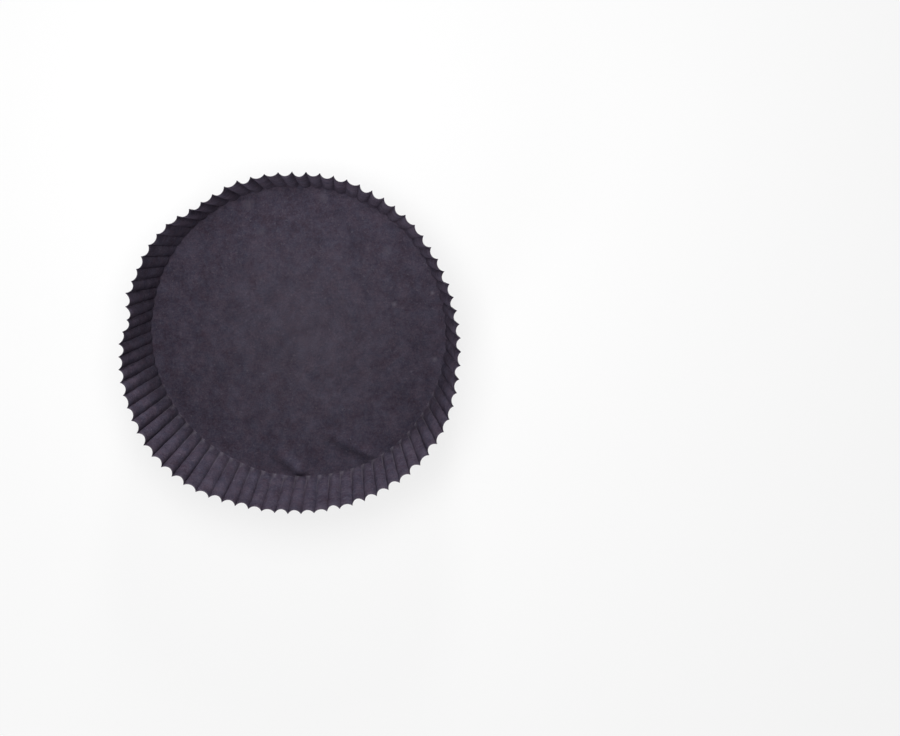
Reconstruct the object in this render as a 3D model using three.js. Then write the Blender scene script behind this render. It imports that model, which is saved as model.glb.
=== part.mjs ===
// Paper baking cup: one round sheet of dark paper, pressed flat in the middle and pleated up into a low wall.
// Millimetres, +Z up. The origin is the middle of the underside, and the cup opens towards +Z.
// Angles are in degrees, anticlockwise from +X as seen from above.

import * as THREE from "three";

// Driving sizes
const BASE_RADIUS = 40;
const WALL_LENGTH = 20;
const RIM_RADIUS = 45.4;
const PAPER_THICKNESS = 0.08;
const PLEAT_COUNT = 80;
const FIRST_PLEAT_ANGLE = 205.9;
// Paper pressed flat inside each sharp crease, measured at the rim
const CREASE_FOLD = 0.3;

// How far up the wall each row of points stands, as a share of the wall's length
const WALL_ROWS = [0, 0.1, 0.34, 0.66, 1];
// Points along one pleat, from one crease to the next
const POINTS_PER_PLEAT = 6;
// Longest mitre at a sharp corner of the wall's two faces, in half thicknesses of the paper
const LONGEST_MITRE = 3;

// Slow drift of the pleats round the cup: waves per turn, size of the cosine and the sine in degrees
const PLEAT_DRIFT = [
  { waves: 1, cosine: -0.7, sine: 0.9 },
  { waves: 2, cosine: 0.3, sine: 0.1 },
  { waves: 3, cosine: 0, sine: 0.55 },
];

// Where the rim flares or is pushed in: middle and half width in degrees, outward move in millimetres
const RIM_DENTS = [
  { name: "dent at the left", middle: 171.4, halfWidth: 9, out: -1.85 },
  { name: "dent at the upper left", middle: 122, halfWidth: 16, out: -1.25 },
  { name: "hollow between the two dents", middle: 156, halfWidth: 8, out: -0.6 },
  { name: "flare at the lower left", middle: 222, halfWidth: 42, out: 3 },
  { name: "swell above the flare", middle: 191, halfWidth: 12, out: 0.5 },
  { name: "flare at the lower right", middle: 318, halfWidth: 42, out: 1 },
  { name: "flat at the right", middle: 5, halfWidth: 50, out: -0.9 },
  { name: "swell at the top right", middle: 66, halfWidth: 40, out: 0.85 },
];

// Where the edge of the base is out of round, in the same terms
const BASE_DENTS = [
  { name: "swell at the lower right", middle: 305, halfWidth: 40, out: 0.6 },
  { name: "flat at the lower left", middle: 235, halfWidth: 40, out: -0.3 },
];

const PAPER_COLOUR = 0x413b48;

const PITCH = 360 / PLEAT_COUNT;
const COLUMNS = PLEAT_COUNT * POINTS_PER_PLEAT;

function dentOut(dents, angle) {
  let out = 0;
  for (const dent of dents) {
    const away = THREE.MathUtils.euclideanModulo(angle - dent.middle + 180, 360) - 180;
    if (Math.abs(away) < dent.halfWidth) {
      out += dent.out * Math.cos((Math.PI / 2) * (away / dent.halfWidth)) ** 2;
    }
  }
  return out;
}

function creaseAngle(pleat) {
  const even = FIRST_PLEAT_ANGLE + pleat * PITCH;
  let angle = even;
  for (const { waves, cosine, sine } of PLEAT_DRIFT) {
    const turn = THREE.MathUtils.degToRad(even * waves);
    angle += cosine * Math.cos(turn) + sine * Math.sin(turn);
  }
  return angle;
}

// A crease is a straight line of the wall's full length, from the base's edge out and up to the rim
function creasePoint(angle, share) {
  const foot = BASE_RADIUS + dentOut(BASE_DENTS, angle);
  const lean = RIM_RADIUS + dentOut(RIM_DENTS, angle) - foot;
  const height = Math.sqrt(Math.max(WALL_LENGTH ** 2 - lean ** 2, 0));
  const turn = THREE.MathUtils.degToRad(angle);
  const radius = foot + lean * share;
  return new THREE.Vector3(radius * Math.cos(turn), radius * Math.sin(turn), height * share);
}

// Half angle of the arc whose length is `ratio` times its chord, closed in on from above by Newton's method
function arcHalfAngle(ratio) {
  let half = Math.sqrt(6 * Math.max(ratio - 1, 0));
  if (half === 0) {
    return 0;
  }
  let last = Infinity;
  while (half < last) {
    last = half;
    const error = half - ratio * Math.sin(half);
    half -= error / (1 - ratio * Math.cos(half));
  }
  return half;
}

// One row of points round the wall: between two creases the paper bulges inwards in a round arc,
// which takes up the paper that the crease lines leave over, since paper doesn't stretch or shrink
function wallRow(share) {
  const row = [];
  for (let pleat = 0; pleat < PLEAT_COUNT; pleat += 1) {
    const angleA = creaseAngle(pleat);
    const angleB = creaseAngle(pleat + 1);
    const a = creasePoint(angleA, share);
    const b = creasePoint(angleB, share);
    const chord = a.distanceTo(b);
    const sheet = THREE.MathUtils.degToRad(angleB - angleA) * (BASE_RADIUS + share * WALL_LENGTH);
    const half = arcHalfAngle((sheet - CREASE_FOLD * share) / chord);
    const along = b.clone().sub(a).divideScalar(chord);
    const inward = new THREE.Vector3(-along.y, along.x, 0).normalize();
    for (let point = 0; point < POINTS_PER_PLEAT; point += 1) {
      const way = (2 * point) / POINTS_PER_PLEAT - 1;
      let forward = way;
      let rise = 0;
      if (half > 0) {
        forward = Math.sin(way * half) / Math.sin(half);
        rise = (Math.cos(way * half) - Math.cos(half)) / Math.sin(half);
      }
      const p = a.clone().addScaledVector(along, ((forward + 1) * chord) / 2);
      row.push(p.addScaledVector(inward, (rise * chord) / 2));
    }
  }
  return row;
}

// Outward direction at each point of a row, lengthened at corners so that the paper keeps its thickness
function rowMitres(row) {
  const count = row.length;
  const mitres = [];
  for (let i = 0; i < count; i += 1) {
    const before = row[(i + count - 1) % count];
    const here = row[i];
    const after = row[(i + 1) % count];
    const normalA = new THREE.Vector3(here.y - before.y, before.x - here.x, 0).normalize();
    const normalB = new THREE.Vector3(after.y - here.y, here.x - after.x, 0).normalize();
    const mitre = normalA.clone().add(normalB).normalize();
    const stretch = Math.min(1 / Math.max(mitre.dot(normalA), 1 / LONGEST_MITRE), LONGEST_MITRE);
    mitres.push(mitre.multiplyScalar(stretch));
  }
  return mitres;
}

// The wall and base as one closed sheet: an outer face, an inner face, and the rim's cut edge
function cupGeometry() {
  const outer = [];
  const inner = [];
  for (const share of WALL_ROWS) {
    const row = wallRow(share);
    const mitres = rowMitres(row);
    outer.push(row.map((p, i) => p.clone().addScaledVector(mitres[i], PAPER_THICKNESS / 2)));
    inner.push(row.map((p, i) => p.clone().addScaledVector(mitres[i], -PAPER_THICKNESS / 2)));
  }
  for (const p of inner[0]) {
    p.z = PAPER_THICKNESS;
  }

  const points = [];
  const faces = [];
  const startOfRow = (row) => row * COLUMNS;
  for (const row of [...outer, ...[...inner].reverse()]) {
    for (const p of row) {
      points.push(p.x, p.y, p.z);
    }
  }
  const rowCount = outer.length + inner.length;
  for (let row = 0; row < rowCount - 1; row += 1) {
    for (let i = 0; i < COLUMNS; i += 1) {
      const next = (i + 1) % COLUMNS;
      const a = startOfRow(row) + i;
      const b = startOfRow(row) + next;
      const c = startOfRow(row + 1) + next;
      const d = startOfRow(row + 1) + i;
      faces.push(a, b, c, a, c, d);
    }
  }

  const underside = points.length / 3;
  points.push(0, 0, 0);
  const floor = underside + 1;
  points.push(0, 0, PAPER_THICKNESS);
  for (let i = 0; i < COLUMNS; i += 1) {
    const next = (i + 1) % COLUMNS;
    faces.push(underside, next, i);
    faces.push(floor, startOfRow(rowCount - 1) + i, startOfRow(rowCount - 1) + next);
  }

  const geometry = new THREE.BufferGeometry();
  geometry.setAttribute("position", new THREE.Float32BufferAttribute(points, 3));
  geometry.setIndex(faces);
  geometry.computeVertexNormals();
  return geometry;
}

const paper = new THREE.MeshStandardMaterial({
  color: PAPER_COLOUR,
  roughness: 0.9,
  metalness: 0,
});

const cup = new THREE.Mesh(cupGeometry(), paper);
cup.name = "baking_cup";

const part = new THREE.Group();
part.name = "paper_baking_cup";
part.add(cup);

export default part;
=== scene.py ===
"""Paper baking cup: one pleated sheet of dark baking paper, standing on its base."""

import math
import random

import bmesh
import bpy
from mathutils import Matrix, Vector


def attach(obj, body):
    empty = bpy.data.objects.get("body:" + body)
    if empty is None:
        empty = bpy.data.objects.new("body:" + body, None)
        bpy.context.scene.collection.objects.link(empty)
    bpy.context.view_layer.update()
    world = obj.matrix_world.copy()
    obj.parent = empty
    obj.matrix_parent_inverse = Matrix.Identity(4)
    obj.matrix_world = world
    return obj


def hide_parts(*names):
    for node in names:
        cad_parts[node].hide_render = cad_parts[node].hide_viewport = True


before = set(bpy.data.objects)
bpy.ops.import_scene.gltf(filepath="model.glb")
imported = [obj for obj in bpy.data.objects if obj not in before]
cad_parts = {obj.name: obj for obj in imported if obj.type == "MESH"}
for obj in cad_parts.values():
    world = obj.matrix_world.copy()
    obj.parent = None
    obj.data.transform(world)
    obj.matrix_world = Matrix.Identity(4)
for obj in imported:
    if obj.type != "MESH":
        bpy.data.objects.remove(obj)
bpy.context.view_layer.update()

bl_info = {
    "name": "Paper baking cup",
    "version": (1, 0, 0),
    "blender": (4, 5, 0),
    "location": "View3D > Sidebar > Baking Cup",
    "description": "Models a pleated paper baking cup and the stage that it is shown on",
    "category": "Object",
}

NODE = "baking_cup"
MM = 0.001
# The cup's UV map: how far round the cup a point of the wall lies, and how far up, both from 0 to 1
PLEAT_MAP = "pleat_map"
# Shares of the wall's height are compared to this many digits
SHARE_DIGITS = 4
SAME_SHARE = 10 ** -SHARE_DIGITS
# Vertices closer than this are merged
SAME_PLACE = 0.001 * MM

# Slow drift of the pleats round the cup: waves per turn, size of the cosine and the sine in degrees
PLEAT_DRIFT = ((1, -0.7, 0.9), (2, 0.3, 0.1), (3, 0.0, 0.55))

# Where the rim flares or is pushed in: middle and half width in degrees, outward move in metres
RIM_DENTS = (
    (171.4, 9, -1.85 * MM),
    (122, 16, -1.25 * MM),
    (156, 8, -0.6 * MM),
    (222, 42, 3.0 * MM),
    (191, 12, 0.5 * MM),
    (318, 42, 1.0 * MM),
    (5, 50, -0.9 * MM),
    (66, 40, 0.85 * MM),
)

# Where the edge of the base is out of round, in the same terms
BASE_DENTS = (
    (305, 40, 0.6 * MM),
    (235, 40, -0.3 * MM),
)

# The wall in two bands: how far up it each ends, as a share, and the rows of faces in it
WALL_BANDS = ((0.15, 5), (1.0, 12))
# Faces across one pleat
PLEAT_CUTS = 14
# Share of the wall's height over which the flutes come up out of the smooth fold
FLUTE_START = 0.045
# Rounds in which the angle of a flute's arc is closed in on, and the least bulge that it starts from
ARC_ROUNDS = 12
LEAST_BULGE = 1e-6

# The fold between wall and base, from the wall down: inward step and height of each ring
FOLD_RINGS = ((0.10 * MM, 0.20 * MM), (0.28 * MM, 0.08 * MM), (0.55 * MM, 0.04 * MM))
# Height at which the fold ends and the wall begins
FOLD_TOP = 2 * FOLD_RINGS[0][1]

# How much each pleat swells, against its even depth: every pleat takes one of these at random
PLEAT_SWELLS = (0.76, 0.92, 1.0, 1.1, 1.22)
SWELL_SEED = 11
# Slight warps of the wall between the rim and the base: their size across and their depth
WARP_SIZE = 3.5 * MM
WARP_DEPTH = 0.65 * MM
# They are strongest half way up, and fade to nothing below this share of that
WARP_START = 0.2
# Edges that turn more than this stay crisp
CRISP_ANGLE = math.radians(50)

# The flat base: its rings of faces, where they end inside the fold, and the paper's middle above the floor
BASE_SEGMENTS = 240
BASE_RINGS = 56
BASE_MARGIN = 1.1 * MM
BASE_HEIGHT = FOLD_RINGS[-1][1]
# How far inside the base's radius its plain paper ends and the pleated paper begins, for the pleat map
PLAIN_MARGIN = 0.6 * MM
# Where the base bows up, in millimetres: x, y, rise and how far the rise reaches. The middle comes first, and
# then the lower left
BASE_SWELLS = (
    (0, 0, 0.85, 38),
    (-20.7, -7.5, 0.18, 15),
    (-15.6, -15.6, 0.28, 15),
    (-7.5, -20.7, 0.26, 15),
    (1.9, -21.9, 0.16, 14),
)

# Soft creases in the base, from its edge inwards, in millimetres: x, y, lift and half width at each point
BASE_CREASES = (
    ((19.4, -33.7, 1.5, 1.7), (16.0, -32.3, 1.1, 2.3), (10.5, -28.8, 0.7, 3.0), (4.0, -25.8, 0.0, 4.0)),
    ((0.4, -38.6, 1.7, 2.1), (-2.7, -36.2, 1.3, 2.7), (-6.2, -32.7, 0.7, 3.0), (-8.2, -26.0, 0.0, 4.0)),
)
# Distance between the small lifts that make up a crease
CREASE_STEP = 0.8 * MM

# Strength of the painted highlights along the creases, at their feet and on the rim's cut edge, from 0 to 1
CREASE_HIGHLIGHT = 0.35
FOOT_HIGHLIGHT = 0.52
RIM_HIGHLIGHT = 0.30
# How far to one side of its crease each painted foot highlight lies, as a share of a pleat
FOOT_SHIFT = 0.17
# Where the painted highlights fade from full to none: across a pleat, and up the wall, as shares of either
LINE_ACROSS = (0.02, 0.10)
LINE_RISE = (0.05, 0.6)
FOOT_ACROSS = (0.0, 0.25)
FOOT_RISE = (0.02, 0.17)
EDGE_RISE = (1.0, 0.965)
# The painted highlights on creases and feet lie on the near, lit side of the cup only: full up to the first
# y, and none past the second
LIT_SIDE = (-24 * MM, -4 * MM)

# Noise in the paper: scale, detail, roughness, and the two levels that become 0 and 1
CLOUD_NOISE = (150, 6, 0.92, 0.36, 0.64)
TINT_NOISE = (300, 5, 0.9, 0.38, 0.62)
GRAIN_NOISE = (2300, 1, 0.5, 0.35, 0.65)
FIBRE_NOISE = (1400, 2, 0.5, 0.62, 0.80)
RELIEF_NOISE = (1500, 4, 0.6, 0, 1)
# Shift of the warm and cool patches, so that they don't follow the clouds
TINT_SHIFT = (0.3, 0.1, 0.2)
# Shares of the warm and cool patches, of the dark grain and of the pale fibres in the paper's colour
TINT_SHARE = 0.44
GRAIN_SHARE = 0.28
FIBRE_SHARE = 0.35
# The paper's fine relief
RELIEF_STRENGTH = 0.5
RELIEF_DEPTH = 0.06 * MM
# How far light spreads inside the sheet
GLOW_DEPTH = 0.1 * MM
# Pale spots on the base: x, y and radius in millimetres, and strength. The first is a painted pool of light
# that makes the middle of the base paler, and the others are specks
PALE_SPOTS_AND_LIGHT_POOL = (
    # Painted pool of light on the middle of the base
    (3.0, 0.0, 42.0, 0.14),
    (-9.9, 14.5, 0.9, 0.55),
    (36.0, 11.1, 0.8, 0.60),
    (25.8, 8.0, 1.1, 0.52),
    (36.7, -6.9, 1.0, 0.45),
    (-13.1, 34.7, 2.4, 0.20),
    (-9.5, 27.5, 1.8, 0.18),
    (7.0, 36.4, 2.0, 0.20),
    (12.3, 8.4, 1.2, 0.25),
    (35.2, 19.4, 1.2, 0.25),
    (24.0, 22.6, 2.0, 0.15),
)

# Sockets of a colour Mix node: its two colours and its result
MIX_FIRST, MIX_SECOND, MIX_RESULT = 6, 7, 2

# Where the camera stands, and how far the cup's axis leans to the right and down in its picture, in radians
CAMERA_PLACE = (71.0 * MM, 120.3 * MM, 658.9 * MM)
CAMERA_LEAN = (-0.0468, 0.1978)
LENS_MM = 100.0
SENSOR_MM = 36.0
CLIP_START = 10 * MM

FLOOR_SIZE = 6.0
FLOOR_ROUGHNESS = 0.9
FLOOR_SPECULAR = 0.1
WHITE = (1, 1, 1, 1)

# Soft lamps: name, compass bearing in degrees with up the picture as 0, height in degrees, distance and width
# in metres, and power in watts
LAMPS = (
    ("lamp_grazing", 5, 15, 0.70, 0.12, 3.4),
    ("lamp_near", 2, 70, 0.19, 0.10, 0.32),
    ("lamp_low", -155, 12, 0.70, 0.20, 3.8),
    ("lamp_left", -90, 14, 0.70, 0.20, 0.6),
    ("lamp_right", 130, 14, 0.70, 0.20, 0.5),
)


class BAKINGCUP_PG_cup(bpy.types.PropertyGroup):
    """Sizes of the folded cup"""

    base_radius: bpy.props.FloatProperty(
        name="Base radius", description="Middle to the edge of the flat base",
        default=40 * MM, unit="LENGTH")
    wall_length: bpy.props.FloatProperty(
        name="Wall length", description="Length of the paper from the base's edge to the rim",
        default=20 * MM, unit="LENGTH")
    rim_radius: bpy.props.FloatProperty(
        name="Rim radius", description="Middle to the outer creases at the rim, before dents",
        default=45.4 * MM, unit="LENGTH")
    paper_thickness: bpy.props.FloatProperty(
        name="Paper thickness", description="Thickness of the sheet",
        default=0.08 * MM, unit="LENGTH", precision=5)
    pleat_count: bpy.props.IntProperty(
        name="Pleats", description="Outer creases round the wall", default=80)
    first_pleat: bpy.props.FloatProperty(
        name="First pleat", description="Angle of the first outer crease",
        default=math.radians(205.9), unit="ROTATION")
    gathered: bpy.props.FloatProperty(
        name="Gathered paper", description="Spare paper drawn into the flutes at the base's edge",
        default=4.5 * MM, unit="LENGTH")
    crease_fold: bpy.props.FloatProperty(
        name="Crease fold", description="Paper pressed flat inside each sharp crease, at the rim",
        default=0.3 * MM, unit="LENGTH")


class BAKINGCUP_PG_paper(bpy.types.PropertyGroup):
    """Colours of the paper"""

    light: bpy.props.FloatVectorProperty(
        name="Light patches", description="Paper where the sheet is thin and pale",
        default=(0.096, 0.0835, 0.115), subtype="COLOR")
    dark: bpy.props.FloatVectorProperty(
        name="Dark patches", description="Paper where the dye is dense",
        default=(0.024, 0.0203, 0.029), subtype="COLOR")
    warm: bpy.props.FloatVectorProperty(
        name="Warm patches", description="Paper where the dye leans to red",
        default=(0.067, 0.042, 0.061), subtype="COLOR")
    cool: bpy.props.FloatVectorProperty(
        name="Cool patches", description="Paper where the dye leans to blue",
        default=(0.044, 0.043, 0.071), subtype="COLOR")
    # Pale paper for fibres and specks, also used for the painted highlights on creases, crease feet and rim
    # and the painted pool of light in the base's middle
    pale_and_highlight: bpy.props.FloatVectorProperty(
        name="Pale paper and painted highlights", description="Pale fibres and specks, and painted highlights on creases, crease feet, rim and the base's middle",
        default=(0.15, 0.135, 0.165), subtype="COLOR")
    roughness: bpy.props.FloatProperty(
        name="Roughness", description="How dull the paper is", default=0.82, subtype="FACTOR")
    glow_through: bpy.props.FloatProperty(
        name="Light through", description="How much light comes through the thin sheet",
        default=0.07, subtype="FACTOR")


class BAKINGCUP_PG_stage(bpy.types.PropertyGroup):
    """Floor and lamps"""

    floor: bpy.props.FloatVectorProperty(
        name="Floor", description="Colour of the floor", default=(0.86, 0.86, 0.86), subtype="COLOR")
    floor_glow: bpy.props.FloatProperty(
        name="Floor glow", description="Share of plain white in what the camera sees of the floor",
        default=0.80, subtype="FACTOR")
    lamp_power: bpy.props.FloatProperty(
        name="Lamp power", description="Multiplies the power of every lamp", default=1.0)
    sky: bpy.props.FloatProperty(
        name="Sky", description="Strength of the even light from all round", default=0.05)


def dent_out(dents, degrees):
    """How far out the paper is pushed at an angle."""
    out = 0.0
    for middle, half_width, most in dents:
        away = (degrees - middle + 180) % 360 - 180
        if abs(away) < half_width:
            out += most * math.cos(math.pi / 2 * away / half_width) ** 2
    return out


def crease_degrees(cup, pleat):
    """Angle of an outer crease, with the drift of the pleats."""
    even = math.degrees(cup.first_pleat) + pleat * 360 / cup.pleat_count
    drift = 0.0
    for waves, cosine, sine in PLEAT_DRIFT:
        turn = math.radians(even * waves)
        drift += cosine * math.cos(turn) + sine * math.sin(turn)
    return even + drift


def crease_point(cup, pleat, share):
    """A point on an outer crease, a straight line from the base's edge to the rim."""
    degrees = crease_degrees(cup, pleat)
    foot = cup.base_radius + dent_out(BASE_DENTS, degrees)
    lean = cup.rim_radius + dent_out(RIM_DENTS, degrees) - foot
    height = math.sqrt(cup.wall_length ** 2 - lean ** 2)
    radius = foot + lean * share
    turn = math.radians(degrees)
    z = FOLD_TOP + (height - FOLD_TOP - cup.paper_thickness) * share
    return Vector((radius * math.cos(turn), radius * math.sin(turn), z))


def arc_half_angle(ratio):
    """Half angle of the arc whose length is ratio times its chord."""
    half = min(math.sqrt(6 * max(ratio - 1, LEAST_BULGE)), math.pi / 2)
    for _ in range(ARC_ROUNDS):
        half -= (half - ratio * math.sin(half)) / (1 - ratio * math.cos(half))
    return half


def wall_radius(cup, share):
    """The wall's radius at a share of its height, before dents."""
    return cup.base_radius + (cup.rim_radius - cup.base_radius) * share


def flute_depth(cup, share, across):
    """How far the paper bulges inwards, at a share of the wall's height and at 0 to 1 across a pleat."""
    chord = 2 * math.pi * wall_radius(cup, share) / cup.pleat_count
    spare = cup.gathered * (1 - share) + cup.wall_length * share
    paper = 2 * math.pi * (cup.base_radius + spare) / cup.pleat_count - cup.crease_fold * share
    half = arc_half_angle(paper / chord)
    arc_radius = chord / 2 / math.sin(half)
    sideways = (across - 0.5) * chord
    start = math.sqrt(min(share / FLUTE_START, 1))
    return (math.sqrt(arc_radius ** 2 - sideways ** 2) - arc_radius * math.cos(half)) * start


def deselect_all():
    """Leaves nothing selected."""
    for item in bpy.context.selected_objects:
        item.select_set(False)


def new_primitive(operator, **settings):
    """Adds a primitive with nothing else selected, and opens it in edit mode."""
    deselect_all()
    operator(**settings)
    made = bpy.context.object
    bpy.ops.object.mode_set(mode="EDIT")
    bpy.ops.mesh.select_mode(type="VERT")
    return made


def pick(piece, indices):
    """Selects just these vertices, in edit mode."""
    mesh = bmesh.from_edit_mesh(piece.data)
    bpy.ops.mesh.select_all(action="DESELECT")
    mesh.verts.ensure_lookup_table()
    for index in indices:
        mesh.verts[index].select_set(True)
    mesh.select_flush(True)
    bmesh.update_edit_mesh(piece.data, loop_triangles=False, destructive=False)


def pick_edges(piece, wanted):
    """Selects the edges for which wanted(edge) is true, in edit mode."""
    bpy.ops.mesh.select_mode(type="EDGE")
    bpy.ops.mesh.select_all(action="DESELECT")
    mesh = bmesh.from_edit_mesh(piece.data)
    for edge in mesh.edges:
        if wanted(edge):
            edge.select_set(True)
    bmesh.update_edit_mesh(piece.data, loop_triangles=False, destructive=False)


def place_creases(piece, cup, ring, share):
    """Moves the vertices of one ring to their places on the creases."""
    for pleat in range(cup.pleat_count):
        index = ring * cup.pleat_count + pleat
        pick(piece, [index])
        verts = bmesh.from_edit_mesh(piece.data).verts
        verts.ensure_lookup_table()
        step = crease_point(cup, pleat, share) - verts[index].co
        bpy.ops.transform.translate(value=step)


def folded_wall(cup):
    """The wall's crease lines as flat panels, one to a pleat, with a map of pleat and height."""
    wall = new_primitive(
        bpy.ops.mesh.primitive_circle_add,
        vertices=cup.pleat_count, radius=cup.base_radius, fill_type="NOTHING")
    place_creases(wall, cup, 0, 0.0)
    for ring, (share, _) in enumerate(WALL_BANDS, start=1):
        pick(wall, range((ring - 1) * cup.pleat_count, ring * cup.pleat_count))
        bpy.ops.mesh.extrude_region_move(
            TRANSFORM_OT_translate={"value": (0, 0, cup.wall_length * share)})
        place_creases(wall, cup, ring, share)
    map_wall(wall, cup)
    return wall


def map_wall(wall, cup):
    """Writes how far round the cup and how far up the wall each point lies into the pleat map."""
    mesh = bmesh.from_edit_mesh(wall.data)
    layer = mesh.loops.layers.uv.new(PLEAT_MAP)
    shares = [0.0] + [share for share, _ in WALL_BANDS]
    for face in mesh.faces:
        pleats = [vert.index % cup.pleat_count for vert in face.verts]
        last_panel = 0 in pleats and cup.pleat_count - 1 in pleats
        for loop in face.loops:
            pleat = loop.vert.index % cup.pleat_count
            if last_panel and pleat == 0:
                pleat = cup.pleat_count
            ring = loop.vert.index // cup.pleat_count
            loop[layer].uv = (pleat / cup.pleat_count, shares[ring])
    bmesh.update_edit_mesh(wall.data)


def spans(edge, layer, low, high):
    """Whether an edge runs up the wall from one height share to another."""
    bottom, top = sorted(vert.link_loops[0][layer].uv.y for vert in edge.verts)
    return abs(bottom - low) < SAME_SHARE and abs(top - high) < SAME_SHARE


def cut_panels(wall, cup):
    """Cuts the panels into columns across each pleat and rows up the wall."""
    count = cup.pleat_count
    pick_edges(wall, lambda edge: edge.verts[0].index // count == edge.verts[1].index // count)
    bpy.ops.mesh.subdivide(number_cuts=PLEAT_CUTS - 1)
    low = 0.0
    for high, rows in WALL_BANDS:
        layer = bmesh.from_edit_mesh(wall.data).loops.layers.uv[PLEAT_MAP]
        pick_edges(wall, lambda edge: spans(edge, layer, low, high))
        bpy.ops.mesh.subdivide(number_cuts=rows - 1)
        low = high


def wall_places(wall, cup):
    """Groups the wall's vertices by height share, distance from the nearer crease, and the pleat's swell."""
    mesh = bmesh.from_edit_mesh(wall.data)
    layer = mesh.loops.layers.uv[PLEAT_MAP]
    chooser = random.Random(SWELL_SEED)
    swells = [chooser.choice(PLEAT_SWELLS) for _ in range(cup.pleat_count)]
    groups = {}
    for vert in mesh.verts:
        across, share = vert.link_loops[0][layer].uv
        column = round(across * cup.pleat_count * PLEAT_CUTS)
        swell = swells[column // PLEAT_CUTS % cup.pleat_count]
        column = min(column % PLEAT_CUTS, -column % PLEAT_CUTS)
        groups.setdefault((round(share, SHARE_DIGITS), column, swell), []).append(vert.index)
    return groups


def press_flutes(wall, cup):
    """Draws the paper between the creases inwards, a row and a column at a time."""
    bpy.ops.mesh.select_mode(type="VERT")
    for (share, column, swell), indices in sorted(wall_places(wall, cup).items()):
        if column == 0:
            continue
        depth = flute_depth(cup, share, column / PLEAT_CUTS) * swell
        factor = 1 - depth / wall_radius(cup, share)
        pick(wall, indices)
        bpy.ops.transform.resize(value=(factor, factor, 1), center_override=(0, 0, 0))


def fold_down(wall, cup):
    """Turns the wall's lower edge in through the fold, to where the flat base begins."""
    mesh = bmesh.from_edit_mesh(wall.data)
    layer = mesh.loops.layers.uv[PLEAT_MAP]
    foot = [vert.index for vert in mesh.verts if vert.link_loops[0][layer].uv.y < SAME_SHARE]
    pick(wall, foot)
    inward = 0.0
    height = FOLD_TOP
    for step_in, ring_height in FOLD_RINGS:
        factor = 1 - (step_in - inward) / cup.base_radius
        bpy.ops.mesh.extrude_region_move(
            TRANSFORM_OT_translate={"value": (0, 0, ring_height - height)})
        bpy.ops.transform.resize(value=(factor, factor, 1), center_override=(0, 0, 0))
        inward, height = step_in, ring_height


def flat_base(cup):
    """The base as rings of faces, closed in the middle."""
    radius = cup.base_radius - BASE_MARGIN
    base = new_primitive(
        bpy.ops.mesh.primitive_circle_add,
        vertices=BASE_SEGMENTS, radius=radius, fill_type="NGON", location=(0, 0, BASE_HEIGHT))
    bpy.ops.mesh.select_all(action="SELECT")
    for _ in range(BASE_RINGS - 1):
        bpy.ops.mesh.inset(thickness=radius / BASE_RINGS)
    bpy.ops.mesh.poke()
    for x, y, rise, reach in BASE_SWELLS:
        lift_base(base, Vector((x, y)) * MM, rise * MM, reach * MM)
    for points in BASE_CREASES:
        crease_base(base, points)
    bpy.ops.object.mode_set(mode="OBJECT")
    return base


def lift_base(base, place, rise, reach):
    """Lifts the base at a place, and less and less round it."""
    mesh = bmesh.from_edit_mesh(base.data)
    nearest = min(mesh.verts, key=lambda vert: (vert.co.xy - place).length)
    pick(base, [nearest.index])
    bpy.ops.transform.translate(
        value=(0, 0, rise), use_proportional_edit=True,
        proportional_edit_falloff="SMOOTH", proportional_size=reach)


def crease_base(base, points):
    """Lifts a soft ridge along a crease in the base."""
    for first, second in zip(points, points[1:]):
        start, end = Vector(first) * MM, Vector(second) * MM
        steps = max(round((end - start).xy.length / CREASE_STEP), 1)
        for step in range(steps):
            x, y, lift, half_width = start.lerp(end, step / steps)
            lift_base(base, Vector((x, y)), lift * CREASE_STEP / half_width, half_width)


def join_sheet(cup, wall, base):
    """Joins wall and base into one sheet along their open edges."""
    bpy.ops.object.mode_set(mode="OBJECT")
    deselect_all()
    base.select_set(True)
    wall.select_set(True)
    bpy.context.view_layer.objects.active = wall
    bpy.ops.object.join()
    bpy.ops.object.transform_apply(location=True, rotation=True, scale=True)
    bpy.ops.object.mode_set(mode="EDIT")
    half_way = cup.wall_length / 2
    pick_edges(wall, lambda edge: edge.is_boundary and edge.verts[0].co.z < half_way)
    bpy.ops.mesh.bridge_edge_loops()
    bpy.ops.mesh.select_all(action="SELECT")
    bpy.ops.mesh.remove_doubles(threshold=SAME_PLACE)
    bpy.ops.mesh.normals_make_consistent(inside=False)
    clear_base_map(wall, cup)
    bpy.ops.object.mode_set(mode="OBJECT")


def clear_base_map(sheet, cup):
    """Gives the whole base one spot of the pleat map, in the middle of a pleat and half way up."""
    mesh = bmesh.from_edit_mesh(sheet.data)
    layer = mesh.loops.layers.uv[PLEAT_MAP]
    plain_radius = cup.base_radius - PLAIN_MARGIN
    for face in mesh.faces:
        if min(vert.co.xy.length for vert in face.verts) < plain_radius:
            for loop in face.loops:
                loop[layer].uv = (0.5 / cup.pleat_count, 0.5)
    bmesh.update_edit_mesh(sheet.data)


def warp_wall(sheet):
    """Warps the wall slightly, most of all half way up."""
    group = sheet.vertex_groups.new(name="wall")
    top = max(vert.co.z for vert in sheet.data.vertices)
    for vert in sheet.data.vertices:
        rise = math.sin(math.pi * min(vert.co.z / top, 1))
        group.add([vert.index], max(rise - WARP_START, 0), "REPLACE")
    clouds = bpy.data.textures.new("wall_warps", "CLOUDS")
    clouds.noise_scale = WARP_SIZE
    warp = sheet.modifiers.new("warps", "DISPLACE")
    warp.texture = clouds
    warp.vertex_group = group.name
    warp.strength = WARP_DEPTH
    bpy.ops.object.modifier_apply(modifier=warp.name)


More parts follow.
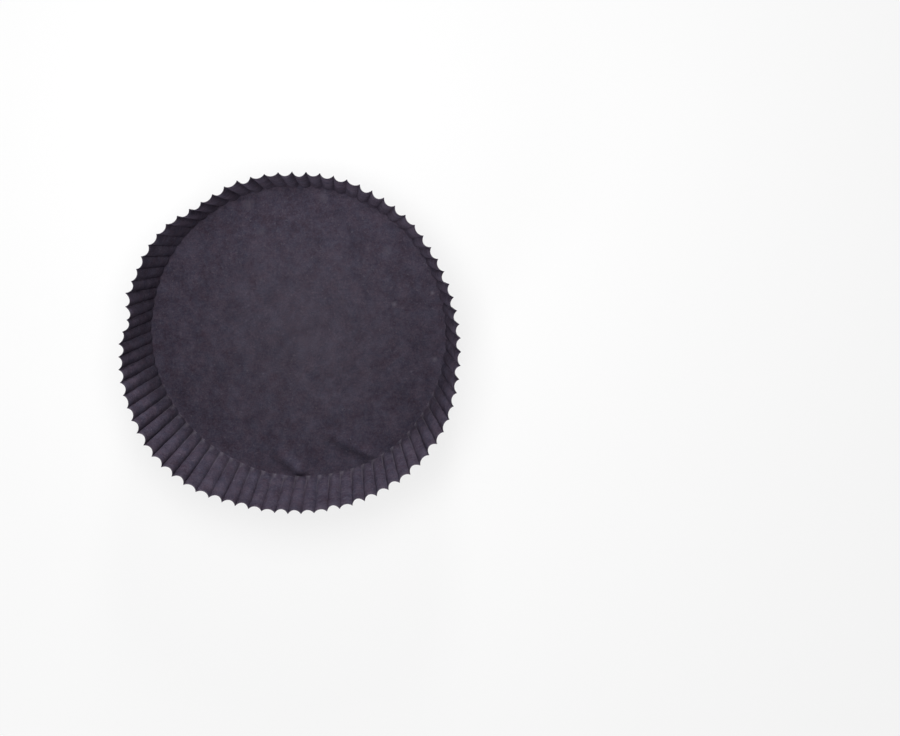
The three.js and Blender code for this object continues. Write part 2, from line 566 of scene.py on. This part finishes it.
def cup_sheet(cup):
    """The whole cup as one sheet of paper with a real thickness."""
    wall = folded_wall(cup)
    cut_panels(wall, cup)
    press_flutes(wall, cup)
    fold_down(wall, cup)
    bpy.ops.object.mode_set(mode="OBJECT")
    base = flat_base(cup)
    join_sheet(cup, wall, base)
    warp_wall(wall)
    thick = wall.modifiers.new("thickness", "SOLIDIFY")
    thick.thickness = cup.paper_thickness
    thick.offset = 0
    bpy.ops.object.modifier_apply(modifier=thick.name)
    bpy.ops.object.shade_smooth_by_angle(angle=CRISP_ANGLE)
    return wall


def add_noise(tree, place, scale, detail, roughness, low, high):
    """Noise in the cup's own coordinates, spread over 0 to 1 between two of its levels."""
    noise = tree.nodes.new("ShaderNodeTexNoise")
    noise.inputs["Scale"].default_value = scale
    noise.inputs["Detail"].default_value = detail
    noise.inputs["Roughness"].default_value = roughness
    tree.links.new(place, noise.inputs["Vector"])
    spread = tree.nodes.new("ShaderNodeMapRange")
    spread.inputs["From Min"].default_value = low
    spread.inputs["From Max"].default_value = high
    tree.links.new(noise.outputs["Fac"], spread.inputs["Value"])
    return spread.outputs["Result"]


def add_math(tree, operation, first, second):
    """One sum of two values, each a number or a socket."""
    node = tree.nodes.new("ShaderNodeMath")
    node.operation = operation
    for socket, value in zip(node.inputs, (first, second)):
        if isinstance(value, (int, float)):
            socket.default_value = value
        else:
            tree.links.new(value, socket)
    return node.outputs["Value"]


def add_fade(tree, value, near, far):
    """Falls smoothly from 1 at one level of a value to 0 at another."""
    fade = tree.nodes.new("ShaderNodeMapRange")
    fade.interpolation_type = "SMOOTHSTEP"
    fade.inputs["From Min"].default_value = near
    fade.inputs["From Max"].default_value = far
    fade.inputs["To Min"].default_value = 1
    fade.inputs["To Max"].default_value = 0
    tree.links.new(value, fade.inputs["Value"])
    return fade.outputs["Result"]


def add_blend(tree, share, first, second):
    """Blends two colours, each written out or a socket."""
    node = tree.nodes.new("ShaderNodeMix")
    node.data_type = "RGBA"
    if isinstance(share, bpy.types.NodeSocket):
        tree.links.new(share, node.inputs["Factor"])
    else:
        node.inputs["Factor"].default_value = share
    for socket, value in ((node.inputs[MIX_FIRST], first), (node.inputs[MIX_SECOND], second)):
        if isinstance(value, bpy.types.NodeSocket):
            tree.links.new(value, socket)
        else:
            socket.default_value = (*value, 1)
    return node.outputs[MIX_RESULT]


def highlight_share(tree, place, pleat_count):
    """Share of painted highlight: along the creases and at their feet on the near, lit side, and on the rim's
    cut edge.
    """
    pleats = tree.nodes.new("ShaderNodeUVMap")
    pleats.uv_map = PLEAT_MAP
    split_map = tree.nodes.new("ShaderNodeSeparateXYZ")
    tree.links.new(pleats.outputs["UV"], split_map.inputs["Vector"])
    pleat = add_math(tree, "MULTIPLY", split_map.outputs["X"], pleat_count)
    rise = split_map.outputs["Y"]

    # Painted highlight along each crease line
    from_crease = add_math(tree, "PINGPONG", pleat, 0.5)
    line_up = add_math(tree, "MULTIPLY", add_fade(tree, rise, *LINE_RISE), CREASE_HIGHLIGHT)
    line = add_math(tree, "MULTIPLY", add_fade(tree, from_crease, *LINE_ACROSS), line_up)

    # Painted highlight at the foot of each crease
    from_foot = add_math(tree, "PINGPONG", add_math(tree, "SUBTRACT", pleat, FOOT_SHIFT), 0.5)
    foot_up = add_math(tree, "MULTIPLY", add_fade(tree, rise, *FOOT_RISE), FOOT_HIGHLIGHT)
    foot = add_math(tree, "MULTIPLY", add_fade(tree, from_foot, *FOOT_ACROSS), foot_up)

    # Both painted highlights only on the near side of the cup, where the light falls
    split_place = tree.nodes.new("ShaderNodeSeparateXYZ")
    tree.links.new(place, split_place.inputs["Vector"])
    lit_near_side = add_fade(tree, split_place.outputs["Y"], *LIT_SIDE)
    lit_marks = add_math(tree, "MULTIPLY", add_math(tree, "MAXIMUM", foot, line), lit_near_side)
    # Painted highlight along the rim's cut edge
    edge = add_math(tree, "MULTIPLY", add_fade(tree, rise, *EDGE_RISE), RIM_HIGHLIGHT)
    return add_math(tree, "MAXIMUM", lit_marks, edge)


def add_pale_spot(tree, place, colour, pale_and_highlight, pale_spot):
    """One pale spot on the base, blended over a colour."""
    x, y, radius, strength = pale_spot
    away = tree.nodes.new("ShaderNodeVectorMath")
    away.operation = "DISTANCE"
    away.inputs[1].default_value = (x * MM, y * MM, BASE_HEIGHT)
    tree.links.new(place, away.inputs[0])
    spot = add_fade(tree, away.outputs["Value"], 0, radius * MM)
    return add_blend(tree, add_math(tree, "MULTIPLY", spot, strength), colour, pale_and_highlight)


def paper_colour(tree, paper, pleat_count):
    """Cloudy colour with warm and cool patches, grain, fibres and specks, a painted pool of light in the
    base's middle, and painted highlights on the creases, their feet and the rim.
    """
    place = tree.nodes.new("ShaderNodeTexCoord").outputs["Object"]
    clouds = add_noise(tree, place, *CLOUD_NOISE)
    colour = add_blend(tree, clouds, paper.dark, paper.light)
    shifted = tree.nodes.new("ShaderNodeVectorMath")
    shifted.operation = "ADD"
    shifted.inputs[1].default_value = TINT_SHIFT
    tree.links.new(place, shifted.inputs[0])
    tint = add_noise(tree, shifted.outputs["Vector"], *TINT_NOISE)
    colour = add_blend(tree, TINT_SHARE, colour, add_blend(tree, tint, paper.cool, paper.warm))
    grain = add_math(tree, "MULTIPLY", add_noise(tree, place, *GRAIN_NOISE), GRAIN_SHARE)
    colour = add_blend(tree, grain, colour, paper.dark)
    fibres = add_math(tree, "MULTIPLY", add_noise(tree, place, *FIBRE_NOISE), FIBRE_SHARE)
    colour = add_blend(tree, fibres, colour, paper.pale_and_highlight)
    # The first pale spot is a painted pool of light on the base's middle, the others are specks
    for pale_spot in PALE_SPOTS_AND_LIGHT_POOL:
        colour = add_pale_spot(tree, place, colour, paper.pale_and_highlight, pale_spot)
    # Painted highlights on the creases, their feet and the rim
    return add_blend(tree, highlight_share(tree, place, pleat_count), colour, paper.pale_and_highlight)


def paper_relief(tree):
    """The fine bumps of the paper's surface."""
    place = tree.nodes.new("ShaderNodeTexCoord").outputs["Object"]
    bump = tree.nodes.new("ShaderNodeBump")
    bump.inputs["Strength"].default_value = RELIEF_STRENGTH
    bump.inputs["Distance"].default_value = RELIEF_DEPTH
    tree.links.new(add_noise(tree, place, *RELIEF_NOISE), bump.inputs["Height"])
    return bump.outputs["Normal"]


def paper_finish(paper, pleat_count):
    """Dark baking paper: cloudy, finely grained and dull, with painted highlights on creases, crease feet and
    rim, and a painted pool of light in the base's middle.
    """
    finish = bpy.data.materials.new("dark_baking_paper")
    finish.use_nodes = True
    tree = finish.node_tree
    shader = tree.nodes["Principled BSDF"]
    shader.inputs["Roughness"].default_value = paper.roughness
    shader.inputs["Specular IOR Level"].default_value = 0.0
    shader.inputs["Subsurface Weight"].default_value = paper.glow_through
    shader.inputs["Subsurface Radius"].default_value = (1, 1, 1)
    shader.inputs["Subsurface Scale"].default_value = GLOW_DEPTH
    tree.links.new(paper_colour(tree, paper, pleat_count), shader.inputs["Base Color"])
    tree.links.new(paper_relief(tree), shader.inputs["Normal"])
    return finish


class BAKINGCUP_OT_cup(bpy.types.Operator):
    """Model the pleated paper cup"""

    bl_idname = "bakingcup.cup"
    bl_label = "Paper Cup"

    def execute(self, context):
        sizes = context.scene.baking_cup
        cup = cup_sheet(sizes)
        cup.name = "paper_cup"
        cup.data.materials.append(paper_finish(context.scene.baking_cup_paper, sizes.pleat_count))
        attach(cup, "root")
        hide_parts(NODE)
        return {"FINISHED"}


def seen_ray(tree):
    """1 for what the camera sees, straight, in a reflection or through glass, and 0 for light on the cup."""
    rays = tree.nodes.new("ShaderNodeLightPath").outputs
    straight = add_math(tree, "MAXIMUM", rays["Is Camera Ray"], rays["Is Glossy Ray"])
    return add_math(tree, "MAXIMUM", straight, rays["Is Transmission Ray"])


def floor_finish(stage):
    """Pale floor that the camera sees near white and that keeps the cup's shadow."""
    finish = bpy.data.materials.new("pale_floor")
    finish.use_nodes = True
    tree = finish.node_tree
    shader = tree.nodes["Principled BSDF"]
    shader.inputs["Base Color"].default_value = (*stage.floor, 1)
    shader.inputs["Roughness"].default_value = FLOOR_ROUGHNESS
    shader.inputs["Specular IOR Level"].default_value = FLOOR_SPECULAR
    glow = tree.nodes.new("ShaderNodeEmission")
    mix = tree.nodes.new("ShaderNodeMixShader")
    glow_share = add_math(tree, "MULTIPLY", seen_ray(tree), stage.floor_glow)
    tree.links.new(glow_share, mix.inputs["Fac"])
    tree.links.new(shader.outputs["BSDF"], mix.inputs[1])
    tree.links.new(glow.outputs["Emission"], mix.inputs[2])
    tree.links.new(mix.outputs["Shader"], tree.nodes["Material Output"].inputs["Surface"])
    return finish


def add_lamp(name, bearing, height, distance, width, power):
    """A square soft lamp that looks at the cup from a compass bearing and a height."""
    turn, rise = math.radians(bearing), math.radians(height)
    away = Vector((math.sin(turn) * math.cos(rise), math.cos(turn) * math.cos(rise), math.sin(rise)))
    deselect_all()
    bpy.ops.object.light_add(type="AREA", location=away * distance)
    lamp = bpy.context.object
    lamp.name = name
    lamp.data.shape = "SQUARE"
    lamp.data.size = width
    lamp.data.energy = power
    lamp.rotation_euler = away.to_track_quat("Z", "Y").to_euler()
    lamp.visible_camera = False


def white_sky(stage):
    """A world that lights evenly, and that the camera sees as white."""
    world = bpy.data.worlds.new("sky")
    world.use_nodes = True
    tree = world.node_tree
    light = tree.nodes["Background"]
    light.inputs["Color"].default_value = WHITE
    light.inputs["Strength"].default_value = stage.sky
    seen = tree.nodes.new("ShaderNodeBackground")
    seen.inputs["Color"].default_value = WHITE
    mix = tree.nodes.new("ShaderNodeMixShader")
    tree.links.new(seen_ray(tree), mix.inputs["Fac"])
    tree.links.new(light.outputs["Background"], mix.inputs[1])
    tree.links.new(seen.outputs["Background"], mix.inputs[2])
    tree.links.new(mix.outputs["Shader"], tree.nodes["World Output"].inputs["Surface"])
    return world


def camera_turn():
    """The camera's turn, from the lean of the cup's axis to the right and down in the picture."""
    lean_right, lean_down = CAMERA_LEAN
    opening = Vector((math.sin(lean_right), math.sin(lean_down), -1)).normalized()
    across = (Vector((1, 0, 0)) - opening.x * opening).normalized()
    upward = opening.cross(across)
    right = Vector((across.x, upward.x, opening.x))
    down = Vector((across.y, upward.y, opening.y))
    forward = Vector((across.z, upward.z, opening.z))
    return Matrix((right, -down, -forward)).transposed()


class BAKINGCUP_OT_stage(bpy.types.Operator):
    """Set the floor, the lamps and the camera"""

    bl_idname = "bakingcup.stage"
    bl_label = "Stage"

    def execute(self, context):
        stage = context.scene.baking_cup_stage
        deselect_all()
        bpy.ops.mesh.primitive_plane_add(size=FLOOR_SIZE, location=(0, 0, 0))
        floor = context.object
        floor.name = "floor"
        floor.data.materials.append(floor_finish(stage))

        for name, bearing, height, distance, width, power in LAMPS:
            add_lamp(name, bearing, height, distance, width, power * stage.lamp_power)
        context.scene.world = white_sky(stage)

        bpy.ops.object.camera_add(location=CAMERA_PLACE)
        camera = context.object
        camera.matrix_world = Matrix.Translation(CAMERA_PLACE) @ camera_turn().to_4x4()
        camera.data.lens = LENS_MM
        camera.data.sensor_width = SENSOR_MM
        camera.data.clip_start = CLIP_START
        context.scene.camera = camera
        context.scene.view_settings.view_transform = "Standard"
        return {"FINISHED"}


class BAKINGCUP_PT_panel(bpy.types.Panel):
    """Shows the settings of the cup, the paper and the stage, and the buttons that make cup and stage"""

    bl_label = "Baking Cup"
    bl_idname = "BAKINGCUP_PT_panel"
    bl_space_type = "VIEW_3D"
    bl_region_type = "UI"
    bl_category = "Baking Cup"

    def draw(self, context):
        layout = self.layout
        scene = context.scene
        for group in (scene.baking_cup, scene.baking_cup_paper, scene.baking_cup_stage):
            for key in group.bl_rna.properties.keys():
                if key not in {"rna_type", "name"}:
                    layout.prop(group, key)
        layout.operator(BAKINGCUP_OT_cup.bl_idname)
        layout.operator(BAKINGCUP_OT_stage.bl_idname)


CLASSES = (
    BAKINGCUP_PG_cup,
    BAKINGCUP_PG_paper,
    BAKINGCUP_PG_stage,
    BAKINGCUP_OT_cup,
    BAKINGCUP_OT_stage,
    BAKINGCUP_PT_panel,
)


def register():
    """Makes the classes and their settings known to Blender."""
    for item in CLASSES:
        bpy.utils.register_class(item)
    bpy.types.Scene.baking_cup = bpy.props.PointerProperty(type=BAKINGCUP_PG_cup)
    bpy.types.Scene.baking_cup_paper = bpy.props.PointerProperty(type=BAKINGCUP_PG_paper)
    bpy.types.Scene.baking_cup_stage = bpy.props.PointerProperty(type=BAKINGCUP_PG_stage)


def unregister():
    """Takes the classes and their settings out again."""
    del bpy.types.Scene.baking_cup_stage
    del bpy.types.Scene.baking_cup_paper
    del bpy.types.Scene.baking_cup
    for item in reversed(CLASSES):
        bpy.utils.unregister_class(item)


def main():
    """Makes the pieces in order."""
    register()
    bpy.ops.bakingcup.stage()
    bpy.ops.bakingcup.cup()


if __name__ == "__main__":
    main()
